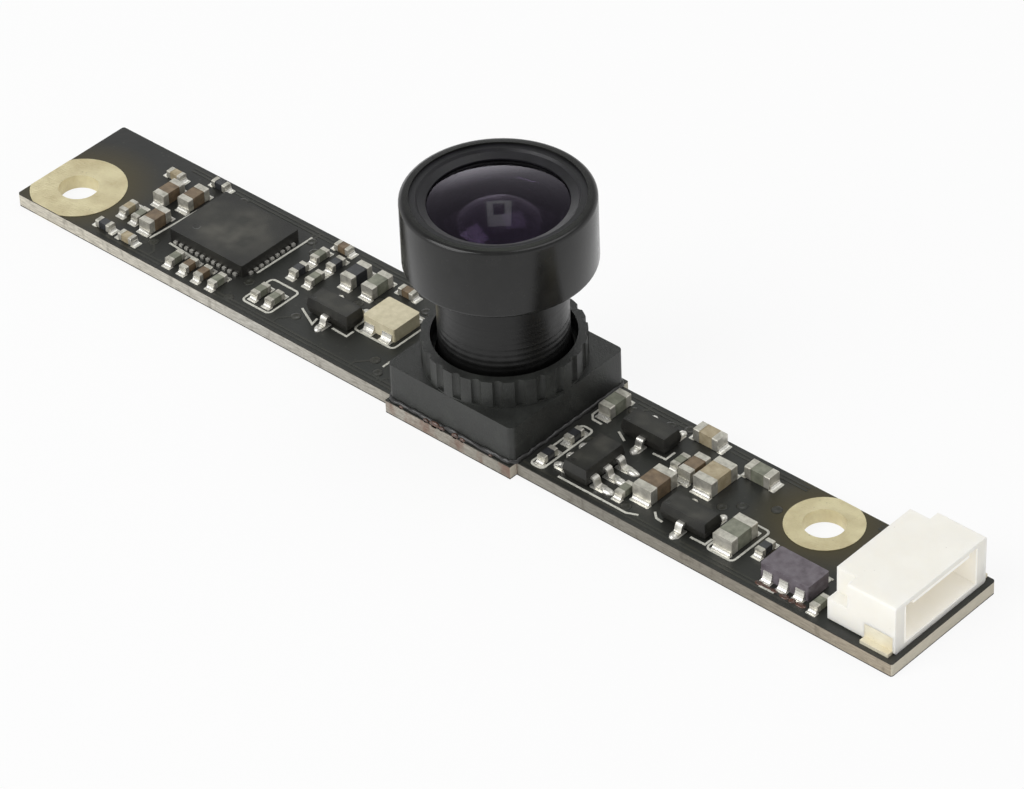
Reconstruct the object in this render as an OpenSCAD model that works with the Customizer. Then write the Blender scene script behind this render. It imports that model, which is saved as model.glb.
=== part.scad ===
// Board-mounted camera module: a long narrow circuit board that carries a
// wide-angle screw-in lens over an image sensor, the chips and chip parts
// that run it, two plated screw holes and a side-entry cable connector.
// Lengths are in millimetres. X runs along the board towards the connector,
// the lens looks along +Z, and the origin is the centre of the underside.

/* [Board] */
// Length of the board along X
board_l = 60; // [59:0.5:75]
// Width of the board across Y
board_w = 8; // [8:0.1:10]
// Thickness of the board
board_t = 0.8; // [0.6:0.1:1.6]
// How far the middle tab stands out of each long side
tab_out = 0.5; // [0.2:0.1:1.2]
// Radius of the board's four outer corners
board_corner_r = 0.15; // [0.1:0.05:0.4]

/* [Screw holes] */
// Diameter of each finished screw hole
hole_d = 2.2; // [1.6:0.1:2.4]
// Thickness of the plated copper
plating_t = 0.02; // [0.01:0.005:0.03]
// Left hole: distance of its centre from the left end
left_hole_in = 2.2; // [2.1:0.05:2.5]
// Left hole: distance of its centre from the front edge
left_hole_up = 2.45; // [2.2:0.05:2.8]
// Left hole: diameter of its ring
left_ring_d = 5.3; // [3.4:0.1:5.4]
// Right hole: distance of its centre from the right end
right_hole_in = 9.0; // [8.6:0.05:9.2]
// Right hole: distance of its centre from the back edge
right_hole_down = 1.95; // [1.8:0.05:2.2]
// Right hole: diameter of its ring
right_ring_d = 4.1; // [3.2:0.1:4.3]

/* [Lens holder] */
// Distance of the lens axis from the board's centre along X
lens_x = 1.9; // [1.6:0.1:2.2]
// Side of the holder's square foot
holder_side = 8.5; // [8.3:0.1:8.7]
// Radius of the foot's upright corners
holder_corner_r = 0.35; // [0.1:0.05:0.8]
// Height of the square foot above the board
holder_foot_h = 2.2; // [1.9:0.1:2.6]
// Height of the round collar above the foot
collar_h = 1.6; // [1.2:0.1:1.8]
// Number of flutes round the collar
flute_count = 24; // [12:1:30]
// Radius of each flute
flute_r = 0.3; // [0.2:0.02:0.36]
// Depth that a flute cuts into the collar
flute_depth = 0.16; // [0.08:0.02:0.2]
// Side of the square chamber over the image sensor
chamber_side = 6.4; // [6:0.1:6.8]
// Height of that chamber
chamber_h = 1.15; // [1.1:0.05:1.3]
// Thickness of the web that carries the infrared filter
filter_web_t = 0.4; // [0.3:0.05:0.5]
// Diameter of the round window in the web
window_d = 4.6; // [4:0.1:4.8]

/* [Lens barrel] */
// Outer diameter of the barrel's thread
thread_d = 7; // [6.8:0.05:7.2]
// Pitch of the thread
thread_pitch = 0.35; // [0.3:0.01:0.4]
// Depth of the thread
thread_depth = 0.18; // [0.1:0.01:0.2]
// Clearance between the thread and the holder's bore
thread_gap = 0.02; // [0.02:0.01:0.1]
// Gap left between the barrel and the holder's mouth
mouth_gap = 0.25; // [0.15:0.05:0.3]
// Diameter of the plain neck under the head
neck_d = 6.7; // [6.4:0.1:6.8]
// Height of the neck's foot above the board
neck_z = 6.6; // [6.2:0.1:7]
// Height of the head's underside above the board
head_z = 8.3; // [7.9:0.1:8.7]
// Diameter of the head
head_d = 9.9; // [9.7:0.1:10.6]
// Height of the head
head_h = 4.0; // [3.9:0.1:4.6]
// Radius of the head's outer edges
head_edge_r = 0.25; // [0.1:0.05:0.4]
// Gap between the barrel's end and the filter web
barrel_end_gap = 0.3; // [0.2:0.05:0.5]

/* [Lens elements] */
// Diameter of the front glass
front_glass_d = 7.8; // [7.6:0.1:7.9]
// Thickness of the front glass at its edge
front_edge_t = 1.2; // [1:0.05:1.3]
// Radius of the front glass's outer face
front_face_r = 15; // [14:0.5:30]
// Depth of the front glass's edge below the rim
front_recess = 0.5; // [0.46:0.02:0.7]
// Diameter of the second element
second_lens_d = 6.1; // [6:0.1:6.4]
// Thickness of the second element at its edge
second_edge_t = 1.7; // [1.5:0.1:1.9]
// Diameter of the middle and rear elements
small_lens_d = 4.8; // [4.6:0.1:5]
// Thickness of the middle and rear elements at their edges
small_edge_t = 1.3; // [1.1:0.1:1.5]
// Thickness of the lip that holds the rear element
rear_lip_t = 0.5; // [0.4:0.05:0.7]
// Thickness of the aperture disc
aperture_t = 0.1; // [0.06:0.02:0.2]
// Diameter of the aperture
aperture_d = 1.2; // [0.8:0.1:2]
// Wall of the spacer rings
spacer_wall = 0.5; // [0.3:0.05:0.7]
// Clearance round each lens element
lens_gap = 0.02; // [0.01:0.01:0.05]

/* [Sensor] */
// Length and width of the image sensor
sensor_size = [4.8, 4.0]; // [3:0.1:5]
// Thickness of the image sensor
sensor_t = 0.35; // [0.3:0.05:0.4]
// Thickness of the sensor's cover glass
cover_t = 0.4; // [0.3:0.05:0.42]
// Side of the square infrared filter
filter_side = 5.4; // [5.2:0.1:5.8]
// Thickness of the infrared filter
filter_t = 0.3; // [0.2:0.02:0.32]

/* [Chips] */
// Length, width and height of the processor
processor_size = [5.4, 4.3, 0.75]; // [0.6:0.05:5.5]
// Pitch of the lands along the processor's edges
land_pitch = 0.4; // [0.4:0.05:0.65]
// Length, width and height of a three-legged regulator
regulator_size = [2.9, 1.3, 1.0]; // [0.8:0.05:3]
// Length, width and height of the six-legged memory chip
memory_size = [2.9, 1.6, 1.05]; // [0.8:0.05:3]
// Pitch of the bent legs
leg_pitch = 0.95; // [0.9:0.01:0.96]
// Width of a bent leg
leg_w = 0.42; // [0.3:0.02:0.5]
// Thickness of a bent leg
leg_t = 0.13; // [0.1:0.01:0.16]
// How far a bent leg reaches out of a regulator
leg_reach = 0.62; // [0.5:0.02:0.7]
// How far a bent leg reaches out of the memory chip
long_leg_reach = 0.75; // [0.6:0.02:0.85]
// Length, width and height of the ceramic resonator
resonator_size = [2.2, 2.0, 0.8]; // [0.6:0.05:2.3]
// Length, width and height of the cable choke
choke_size = [3.0, 1.6, 0.9]; // [0.6:0.05:3.3]

/* [Chip parts] */
// Length, width and height of a small chip part
small_chip = [1.0, 0.5, 0.45]; // [0.3:0.05:1.1]
// Length, width and height of a medium chip part
medium_chip = [1.6, 0.8, 0.75]; // [0.5:0.05:1.7]
// Length, width and height of a large chip part
large_chip = [2.0, 1.2, 0.9]; // [0.6:0.05:2.1]
// Length of the metal end on a chip part, as a share of the part's length
end_share = 0.24; // [0.15:0.01:0.3]
// How far the metal ends stand proud of the ceramic
end_proud = 0.02; // [0.01:0.005:0.04]
// How far a solder fillet runs out onto the board
solder_run = 0.22; // [0.12:0.02:0.24]

/* [Connector] */
// Number of contacts
contact_count = 5; // [3:1:5]
// Pitch of the contacts
contact_pitch = 1.0; // [0.8:0.05:1.05]
// Length, width and height of the housing
connector_size = [4.1, 7.0, 2.85]; // [2.7:0.05:7.2]
// Distance of the connector's middle line from the board's centre line
connector_y = 0.1; // [0:0.05:0.1]
// Distance of the mouth from the board's end
connector_inset = 0.3; // [0.2:0.05:0.4]
// Side wall of the housing
connector_wall = 0.8; // [0.7:0.05:0.85]
// Floor of the housing
connector_floor = 0.4; // [0.3:0.05:0.5]
// Roof of the housing
connector_roof = 0.45; // [0.3:0.05:0.5]
// Back wall of the housing
connector_back = 0.9; // [0.7:0.05:1.1]
// Width of a contact
contact_w = 0.3; // [0.2:0.02:0.34]
// Thickness of a contact
contact_t = 0.2; // [0.15:0.01:0.24]

/* [Hidden] */
$fn = 64;
cut = 0.5;                      // overshoot of a cut past the face that it opens

board_top = board_t;
left_end = -board_l / 2;
right_end = board_l / 2;
front_edge = -board_w / 2;
back_edge = board_w / 2;

left_hole = [left_end + left_hole_in, front_edge + left_hole_up];
right_hole = [right_end - right_hole_in, back_edge - right_hole_down];

// Heights of the lens stack, all measured from the board's underside
foot_top = board_top + holder_foot_h;
collar_top = foot_top + collar_h;
web_bottom = board_top + chamber_h;
web_top = web_bottom + filter_web_t;
barrel_bottom = web_top + barrel_end_gap;
neck_bottom = board_top + neck_z;
head_bottom = board_top + head_z;
head_top = head_bottom + head_h;
thread_r = thread_d / 2;
mouth_r = thread_r + mouth_gap;
mouth_depth = collar_h * 0.6;
rear_seat_z = barrel_bottom + rear_lip_t;
front_glass_edge_z = head_top - front_recess;
front_seat_z = front_glass_edge_z - front_edge_t;
second_seat_z = front_seat_z - second_edge_t;
middle_top_z = second_seat_z - (second_seat_z - rear_seat_z - 2 * small_edge_t) / 2;
middle_bottom_z = middle_top_z - small_edge_t;
rear_top_z = rear_seat_z + small_edge_t;
ring_seat_r = head_d / 2 - 0.5;
ring_clear_r = front_glass_d / 2 - 0.3;

// Plan of the connector, from its back to its mouth
mouth_x = right_end - connector_inset;
housing_back_x = mouth_x - connector_size[0];

// The banks that carry the chips: from the left ring to the holder, and from
// the holder to the connector. A place is a share of the way along a bank, in
// percent, and a number of grid steps across from the board's centre line.
left_bank = [left_hole[0] + left_ring_d / 2, lens_x - holder_side / 2];
right_bank = [lens_x + holder_side / 2, housing_back_x];
grid = land_pitch / 8;

function place(bank, along, steps) = [bank[0] + (bank[1] - bank[0]) * along / 100, steps * grid];

function placed(bank, parts) = [for (p = parts) concat(place(bank, p[0], p[1]), [p[2], p[3], p[4]])];

// The chip parts of each bank: [along, steps, turn, package, family]
S = small_chip;
M = medium_chip;
L = large_chip;
left_parts = [
    // between the left screw hole and the processor
    [3.9, 48, 0, S, "tan"],
    [8.3, 17, 90, M, "brown"],
    [14.3, 27, 90, M, "brown"],
    [14.9, 66, 0, S, "resistor"],
    [4.6, -27, 90, S, "tan"],
    [8.8, -28, 90, S, "grey"],
    [13.4, -27, 90, M, "brown"],
    [5.0, -64, 0, S, "resistor"],
    [12.7, -65, 0, S, "tan"],
    // in front of the processor
    [27.0, -59, 90, S, "grey"],
    [31.6, -59, 90, S, "brown"],
    [36.2, -59, 90, S, "brown"],
    [40.8, -59, 90, S, "grey"],
    // between the processor and the left regulator
    [54.8, 67, 0, S, "brown"],
    [52.4, 41, 90, S, "grey"],
    [57.5, 41, 90, S, "resistor"],
    [52.4, 9, 90, S, "resistor"],
    [57.5, 9, 90, S, "grey"],
    [51.3, -43, 90, S, "grey"],
    [55.7, -43, 90, S, "grey"],
    [64.7, 38, 90, M, "resistor"],
    [71.1, 39, 90, M, "grey"],
    [77.9, 53, 0, S, "brown"]
];
right_parts = [
    // between the holder and the memory chip
    [5.4, 46, 90, M, "grey"],
    [5.1, -15, 90, S, "resistor"],
    [5.1, -55, 90, S, "resistor"],
    // between the memory chip and the right regulator
    [33.2, 67, 0, M, "tan"],
    [33.4, 20, 90, S, "grey"],
    [38.3, 19, 90, M, "brown"],
    [45.0, 20, 90, L, "tan"],
    [29.8, -48, 90, S, "grey"],
    [35.2, -27, 90, L, "brown"],
    [53.2, 54, 0, M, "grey"],
    // between the right regulator and the connector
    [63.5, -35, 90, L, "grey"],
    [71.7, -28, 90, S, "resistor"],
    [95.6, -58, 90, S, "grey"]
];
chip_parts = concat(placed(left_bank, left_parts), placed(right_bank, right_parts));

// Where the chips lie
chip_gap = 0.2;
processor_at = place(left_bank, 31.8, 8);
left_regulator_at = place(left_bank, 70.6, -22);
resonator_at = [left_regulator_at[0] + (regulator_size[0] + resonator_size[0]) / 2 + chip_gap, 5 * grid];
memory_at = place(right_bank, 17.0, -38);
middle_regulator_at = place(right_bank, 20.6, 33);
right_regulator_at = place(right_bank, 50.4, -42);
choke_at = place(right_bank, 84.6, -44);
leg_root = 0.1;
regulator_legs = [[-1, 0], [1, -1], [1, 1]];
memory_legs = [[-1, -1], [-1, 0], [-1, 1], [1, -1], [1, 0], [1, 1]];

// The connector's contacts, wings and anchors
contact_z = board_top + connector_floor + (connector_size[2] - connector_floor - connector_roof) / 2;
wing_l = 1.2;
wing_w = connector_wall - 0.1;
wing_h = 1.35;
anchor_t = 0.2;
anchor_l = 1.7;
anchor_x = mouth_x - 0.15 - anchor_l;
anchor_h = 1.0;
anchor_foot = 0.35;

// ---------- shared shapes ----------

// A rectangle about the origin with true arcs at its corners
module rounded_rect(l, w, r) {
    square([l - 2 * r, w], center = true);
    square([l, w - 2 * r], center = true);
    for (x = [-1, 1], y = [-1, 1])
        translate([x * (l / 2 - r), y * (w / 2 - r)])
            circle(r);
}

module board_outline() {
    rounded_rect(board_l, board_w, board_corner_r);
    translate([lens_x, 0])
        square([holder_side, board_w + 2 * tab_out], center = true);
}

// A ring of rectangular section, from z to z + h
module ring(outer_r, inner_r, z, h) {
    translate([0, 0, z])
        difference() {
            cylinder(h = h, r = outer_r);
            translate([0, 0, -cut])
                cylinder(h = h + 2 * cut, r = inner_r);
        }
}

// The cap that a plane at the edge radius cuts off a sphere, standing on z
module cap(edge_r, sphere_r, z) {
    sag = sphere_r - sqrt(sphere_r * sphere_r - edge_r * edge_r);
    intersection() {
        translate([0, 0, z + sag - sphere_r])
            sphere(sphere_r, $fn = 160);
        translate([0, 0, z])
            cylinder(h = sag + cut, r = edge_r);
    }
}

module on_lens_axis() {
    translate([lens_x, 0, 0])
        children();
}

// ---------- board ----------

module screw_ring(at, ring_d) {
    color("#d8cda0")
        difference() {
            union() {
                for (z = [0, board_top])
                    translate([0, 0, z])
                        linear_extrude(plating_t)
                            intersection() {
                                translate(at) circle(d = ring_d);
                                board_outline();
                            }
                translate([at[0], at[1], 0])
                    cylinder(h = board_top + plating_t, d = hole_d + 2 * plating_t);
            }
            translate([at[0], at[1], -cut])
                cylinder(h = board_top + 2 * cut, d = hole_d);
        }
}

// The drilled hole, and the shallow bed that the lower ring lies flush in
module screw_ring_seat(at, ring_d) {
    translate([at[0], at[1], -cut])
        cylinder(h = board_top + 2 * cut, d = hole_d + 2 * plating_t);
    translate([at[0], at[1], -cut])
        cylinder(h = cut + plating_t, d = ring_d);
}

module circuit_board() {
    color("#262824")
        difference() {
            linear_extrude(board_t) board_outline();
            screw_ring_seat(left_hole, left_ring_d);
            screw_ring_seat(right_hole, right_ring_d);
        }
}

module left_screw_ring() {
    screw_ring(left_hole, left_ring_d);
}

module right_screw_ring() {
    screw_ring(right_hole, right_ring_d);
}

// ---------- lens holder ----------

module flutes() {
    for (i = [0 : flute_count - 1])
        rotate([0, 0, (i + 0.5) * 360 / flute_count])
            translate([holder_side / 2 - flute_depth + flute_r, 0, foot_top + 0.1])
                cylinder(h = collar_h + cut, r = flute_r, $fn = 24);
}

module lens_holder() {
    color("#2b2b2c")
        on_lens_axis()
            difference() {
                union() {
                    translate([0, 0, board_top])
                        linear_extrude(holder_foot_h)
                            rounded_rect(holder_side, holder_side, holder_corner_r);
                    translate([0, 0, foot_top])
                        cylinder(h = collar_h, r = holder_side / 2);
                }
                flutes();
                translate([0, 0, board_top + chamber_h / 2 - cut / 2])
                    cube([chamber_side, chamber_side, chamber_h + cut], center = true);
                translate([0, 0, board_top])
                    cylinder(h = holder_foot_h, d = window_d);
                translate([0, 0, web_top])
                    cylinder(h = collar_top, r = thread_r + thread_gap);
                translate([0, 0, collar_top - mouth_depth])
                    cylinder(h = mouth_depth + cut, r = mouth_r);
            }
}

// ---------- lens barrel ----------

// Zigzag flank of the thread, from its lower end up
function thread_flank() =
    let (turns = floor((neck_bottom - barrel_bottom) / thread_pitch))
        [for (i = [0 : turns - 1])
            let (z = barrel_bottom + i * thread_pitch)
                each [[thread_r - thread_depth, z + thread_pitch * 0.1],
                      [thread_r, z + thread_pitch * 0.45],
                      [thread_r, z + thread_pitch * 0.6],
                      [thread_r - thread_depth, z + thread_pitch * 0.95]]];

// A rounded outer corner of the head; side is -1 at its foot and 1 at its top
function head_corner(z, side) =
    [for (a = side < 0 ? [-90 : 15 : 0] : [0 : 15 : 90])
        [head_d / 2 - head_edge_r + head_edge_r * cos(a), z - side * head_edge_r + head_edge_r * sin(a)]];

function barrel_outside() =
    concat([[thread_r - thread_depth, barrel_bottom]],
           thread_flank(),
           [[thread_r - thread_depth, neck_bottom], [neck_d / 2, neck_bottom], [neck_d / 2, head_bottom]],
           head_corner(head_bottom, -1),
           head_corner(head_top, 1));

function barrel_inside() =
    [[ring_seat_r, head_top],
     [ring_seat_r, front_glass_edge_z],
     [front_glass_d / 2 + lens_gap, front_glass_edge_z],
     [front_glass_d / 2 + lens_gap, front_seat_z],
     [second_lens_d / 2 + lens_gap, front_seat_z],
     [second_lens_d / 2 + lens_gap, second_seat_z],
     [small_lens_d / 2 + lens_gap, second_seat_z],
     [small_lens_d / 2 + lens_gap, rear_seat_z],
     [small_lens_d / 2 - spacer_wall, rear_seat_z],
     [small_lens_d / 2 - spacer_wall, barrel_bottom]];

module lens_barrel() {
    color("#2e2e2f")
        on_lens_axis()
            rotate_extrude($fn = 96)
                polygon(concat(barrel_outside(), barrel_inside()));
}

// Dished ring that holds the front glass
module front_ring() {
    color("#232324")
        on_lens_axis()
            rotate_extrude($fn = 96)
                polygon([[ring_seat_r, front_glass_edge_z],
                         [ring_seat_r, head_top - 0.12],
                         [ring_seat_r - 0.35, head_top - 0.12],
                         [ring_seat_r - 0.45, head_top - 0.25],
                         [ring_clear_r, front_glass_edge_z + 0.08],
                         [ring_clear_r, front_glass_edge_z]]);
}

// ---------- lens elements ----------

// A bowl cut up into the underside of an element
module hollow_face(edge_r, sphere_r, z) {
    translate([0, 0, z - sqrt(sphere_r * sphere_r - edge_r * edge_r)])
        sphere(sphere_r, $fn = 160);
}

module front_glass() {
    color("#2a2433")
        on_lens_axis() {
            difference() {
                union() {
                    translate([0, 0, front_seat_z])
                        cylinder(h = front_edge_t, d = front_glass_d);
                    cap(ring_clear_r - lens_gap, front_face_r, front_glass_edge_z);
                }
                hollow_face(second_lens_d / 2 - 0.3, 4.6, front_seat_z);
            }
        }
}

module second_lens() {
    color("#3a3542")
        on_lens_axis()
            difference() {
                translate([0, 0, second_seat_z])
                    cylinder(h = second_edge_t, d = second_lens_d);
                hollow_face(small_lens_d / 2 - spacer_wall, 2.6, second_seat_z);
            }
}

// A biconvex element: a short rim with a cap on each side
module biconvex(z) {
    rim_r = small_lens_d / 2;
    face_r = rim_r - spacer_wall;
    translate([0, 0, z])
        cylinder(h = small_edge_t, r = rim_r);
    cap(face_r - lens_gap, 6.5, z + small_edge_t);
}

module middle_lens() {
    color("#3c3c48")
        on_lens_axis()
            biconvex(middle_bottom_z);
}

module rear_lens() {
    color("#3c3c48")
        on_lens_axis()
            biconvex(rear_seat_z);
}

module front_spacer() {
    color("#1d1d1e")
        on_lens_axis()
            ring(small_lens_d / 2, small_lens_d / 2 - spacer_wall, middle_top_z, second_seat_z - middle_top_z);
}

module aperture_disc() {
    color("#141414")
        on_lens_axis()
            ring(small_lens_d / 2, aperture_d / 2, middle_bottom_z - aperture_t, aperture_t);
}

module rear_spacer() {
    color("#1d1d1e")
        on_lens_axis()
            ring(small_lens_d / 2, small_lens_d / 2 - spacer_wall, rear_top_z,
                 middle_bottom_z - aperture_t - rear_top_z);
}

// ---------- sensor ----------

module infrared_filter() {
    color("#9fc4c8")
        translate([lens_x, 0, web_bottom - filter_t / 2])
            cube([filter_side, filter_side, filter_t], center = true);
}

module image_sensor() {
    color("#23303a")
        translate([lens_x, 0, board_top])
            linear_extrude(sensor_t) square(sensor_size, center = true);
}

module sensor_cover_glass() {
    color("#8fa3a8")
        translate([lens_x, 0, board_top + sensor_t])
            linear_extrude(cover_t) square(sensor_size, center = true);
}

// ---------- chips ----------

// Section of a moulded body: its sides lean in above and below the parting line
module moulded_section(w, h) {
    lean = h * 0.09;
    foot = 0.08;
    polygon([[-w / 2 + lean, foot], [w / 2 - lean, foot], [w / 2, h / 2],
             [w / 2 - lean, h], [-w / 2 + lean, h], [-w / 2, h / 2]]);
}

module moulded_body(size) {
    intersection() {
        rotate([90, 0, 0])
            linear_extrude(size[1] + cut, center = true)
                moulded_section(size[0], size[2]);
        rotate([90, 0, 90])
            linear_extrude(size[0] + cut, center = true)
                moulded_section(size[1], size[2]);
    }
}

module chip_body(at, turn, size) {
    color("#2a2a29")
        translate([at[0], at[1], board_top])
            rotate([0, 0, turn])
                moulded_body(size);
}

// Middle line of a bent leg: out of the body, down, and along the board on its foot
function leg_line(root_z, reach) =
    let (bend_r = leg_t,
         steep = 75,
         straight = root_z - leg_t / 2 - 2 * bend_r * (1 - cos(steep)),
         toe_x = leg_root + 2 * bend_r * sin(steep) + straight / tan(steep))
        concat([[0, root_z]],
               [for (a = [0 : 25 : steep]) [leg_root + bend_r * sin(a), root_z - bend_r * (1 - cos(a))]],
               [for (a = [steep : -25 : 0]) [toe_x - bend_r * sin(a), leg_t / 2 + bend_r * (1 - cos(a))]],
               [[reach, leg_t / 2]]);

function unit(v) = v / norm(v);

// A line thickened to a closed outline, with mitred corners
function thicken(line, t) =
    let (n = len(line),
         side = [for (i = [0 : n - 1])
             let (before = unit(line[max(i, 1)] - line[max(i, 1) - 1]),
                  after = unit(line[min(i, n - 2) + 1] - line[min(i, n - 2)]),
                  mean = unit(before + after))
                 [-mean[1], mean[0]] * t / 2 / (mean * before)])
        concat([for (i = [0 : n - 1]) line[i] + side[i]],
               [for (i = [n - 1 : -1 : 0]) line[i] - side[i]]);

// The legs of one chip; each entry gives the side and the place along it
module legs_of(at, turn, size, places, reach) {
    translate([at[0], at[1], board_top])
        rotate([0, 0, turn])
            for (p = places)
                translate([p[1] * leg_pitch, p[0] * size[1] / 2, 0])
                    rotate([90, 0, p[0] * 90])
                        linear_extrude(leg_w, center = true)
                            polygon(thicken(leg_line(size[2] / 2, reach), leg_t));
}

module chip_legs() {
    color("#cfd0cc") {
        legs_of(left_regulator_at, 0, regulator_size, regulator_legs, leg_reach);
        legs_of(middle_regulator_at, 0, regulator_size, regulator_legs, leg_reach);
        legs_of(right_regulator_at, 0, regulator_size, regulator_legs, leg_reach);
        legs_of(memory_at, 90, memory_size, memory_legs, long_leg_reach);
    }
}

module left_regulator() {
    chip_body(left_regulator_at, 0, regulator_size);
}

module middle_regulator() {
    chip_body(middle_regulator_at, 0, regulator_size);
}

module right_regulator() {
    chip_body(right_regulator_at, 0, regulator_size);
}

module memory_chip() {
    chip_body(memory_at, 90, memory_size);
}

module processor_chip() {
    color("#242523")
        translate([processor_at[0], processor_at[1], board_top])
            linear_extrude(processor_size[2])
                rounded_rect(processor_size[0], processor_size[1], 0.1);
}

// Rows of solder-wetted lands that stand out along all four edges
module processor_lands() {
    reach = 0.14;
    land = [land_pitch * 0.55, reach, 0.14];
    color("#d5d4cc")
        translate([processor_at[0], processor_at[1], board_top])
            for (side = [0 : 3])
                let (along = processor_size[side % 2], across = processor_size[(side + 1) % 2],
                     count = floor((along - 0.5) / land_pitch))
                    rotate([0, 0, side * 90])
                        for (i = [0 : count - 1])
                            translate([(i - (count - 1) / 2) * land_pitch - land[0] / 2, across / 2, 0])
                                cube(land);
}

module clock_resonator() {
    color("#ddd2ae")
        translate([resonator_at[0], resonator_at[1], board_top])
            linear_extrude(resonator_size[2])
                rounded_rect(resonator_size[0], resonator_size[1], 0.12);
}

// Metal pads that climb the resonator's front and back walls
module resonator_terminals() {
    pad = [resonator_size[0] * 0.3, 0.35, resonator_size[2] * 0.55];
    color("#d9d8d0")
        translate([resonator_at[0], resonator_at[1], board_top])
            for (x = [-1, 1], y = [0, 180])
                rotate([0, 0, y])
                    translate([x * resonator_size[0] * 0.28, -resonator_size[1] / 2, 0])
                        fillet_bar(pad[0], pad[1], pad[2]);
}

module cable_choke() {
    color("#3b3a40")
        translate([choke_at[0], choke_at[1], board_top])
            linear_extrude(choke_size[2])
                rounded_rect(choke_size[0], choke_size[1], 0.1);
}

module choke_terminals() {
    color("#d5d4cc")
        translate([choke_at[0], choke_at[1], board_top])
            for (x = [-1, 0, 1], y = [0, 180])
                rotate([0, 0, y])
                    translate([x * choke_size[0] / 3, -choke_size[1] / 2, 0])
                        fillet_bar(choke_size[0] * 0.18, 0.3, choke_size[2] * 0.6);
}

// ---------- chip parts ----------

module at_part(p) {
    translate([p[0], p[1], board_top])
        rotate([0, 0, p[2]])
            children();
}

// The ceramic middle of a chip part, between its two metal ends
module ceramic(size) {
    l = size[0] * (1 - 2 * end_share);
    w = size[1] - 2 * end_proud;
    translate([-l / 2, -w / 2, end_proud])
        cube([l, w, size[2] - 2 * end_proud]);
}

// The two metal ends, with softened long edges
module metal_ends(size) {
    end_l = size[0] * end_share;
    for (side = [0, 180])
        rotate([0, 0, side])
            translate([size[0] / 2 - end_l, 0, size[2] / 2])
                rotate([90, 0, 90])
                    linear_extrude(end_l)
                        rounded_rect(size[1], size[2], 0.06);
}

// A bar of solder with a hollow slope, rising to h against the plane y = 0
module fillet_bar(w, run, h) {
    lip = 0.04;
    rotate([90, 0, -90])
        linear_extrude(w, center = true)
            polygon(concat([[0, 0], [run, 0]],
                           [for (a = [0 : 18 : 90]) [run - (run - lip) * sin(a), h - (h - lip) * cos(a)]],
                           [[0, h]]));
}

module parts_of(family) {
    for (p = chip_parts)
        if (p[4] == family)
            at_part(p)
                ceramic(p[3]);
}

module brown_capacitors() {
    color("#7d6a54") parts_of("brown");
}

module grey_capacitors() {
    color("#8b8d7f") parts_of("grey");
}

module tan_capacitors() {
    color("#b3a283") parts_of("tan");
}

module chip_resistors() {
    color("#3a3c40") parts_of("resistor");
}

module chip_part_ends() {
    color("#cfcdc5")
        for (p = chip_parts)
            at_part(p)
                metal_ends(p[3]);
}

module solder_fillets() {
    color("#dcdbd4")
        for (p = chip_parts)
            at_part(p)
                for (side = [-90, 90])
                    rotate([0, 0, side])
                        translate([0, -p[3][0] / 2, 0])
                            fillet_bar(p[3][1] * 0.9, solder_run, solder_run);
}

// ---------- connector ----------

// Section of the housing across the board, from the board up
module housing_section() {
    translate([connector_y, board_top + connector_size[2] / 2])
        rounded_rect(connector_size[1], connector_size[2], 0.15);
}

module contact_slots() {
    for (i = [0 : contact_count - 1])
        translate([housing_back_x - cut, contact_y(i) - contact_w / 2, board_top - cut])
            cube([connector_back + 2 * cut, contact_w, contact_z + contact_t / 2 - board_top + cut]);
}

function contact_y(i) = connector_y + (i - (contact_count - 1) / 2) * contact_pitch;

module connector_housing() {
    inner_w = connector_size[1] - 2 * connector_wall;
    inner_z = board_top + connector_floor;
    inner_h = connector_size[2] - connector_floor - connector_roof;
    key_w = 0.55;
    key_l = 1.6;
    key_h = 0.2;
    color("#eeece2")
        difference() {
            translate([housing_back_x, 0, 0])
                rotate([90, 0, 90])
                    linear_extrude(connector_size[0])
                        housing_section();
            // room for the plug
            translate([housing_back_x + connector_back, connector_y - inner_w / 2, inner_z])
                cube([connector_size[0], inner_w, inner_h]);
            for (side = [-1, 1]) {
                // keyways under the roof for the plug's ribs
                translate([mouth_x - key_l, connector_y + side * (inner_w / 2 - key_w / 2) - key_w / 2, inner_z])
                    cube([key_l + cut, key_w, inner_h + key_h]);
                // low wings at the back corners
                translate([housing_back_x - cut,
                           connector_y + side * (connector_size[1] / 2 - wing_w / 2 + cut / 2) - (wing_w + cut) / 2,
                           board_top + wing_h])
                    cube([wing_l + cut, wing_w + cut, connector_size[2]]);
                // slots that hold the anchors
                anchor_slot(side);
            }
            contact_slots();
        }
}

// The slot in a side wall that an anchor is let into
module anchor_slot(side) {
    slot_w = anchor_t + cut;
    translate([anchor_x, connector_y + side * (connector_size[1] / 2 - anchor_t + slot_w / 2) - slot_w / 2,
               board_top - cut])
        cube([anchor_l, slot_w, anchor_h + cut]);
}

// Solder anchors: an upright plate let into the side wall, with a foot on the board
module connector_anchors() {
    color("#e3d6ae")
        for (side = [0, 1])
            translate([anchor_x, connector_y, board_top])
                mirror([0, side, 0])
                    translate([0, connector_size[1] / 2, 0])
                        rotate([90, 0, 90])
                            linear_extrude(anchor_l)
                                polygon([[-anchor_t, 0], [anchor_foot, 0], [anchor_foot, anchor_t], [0, anchor_t],
                                         [0, anchor_h], [-anchor_t, anchor_h]]);
}

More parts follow.
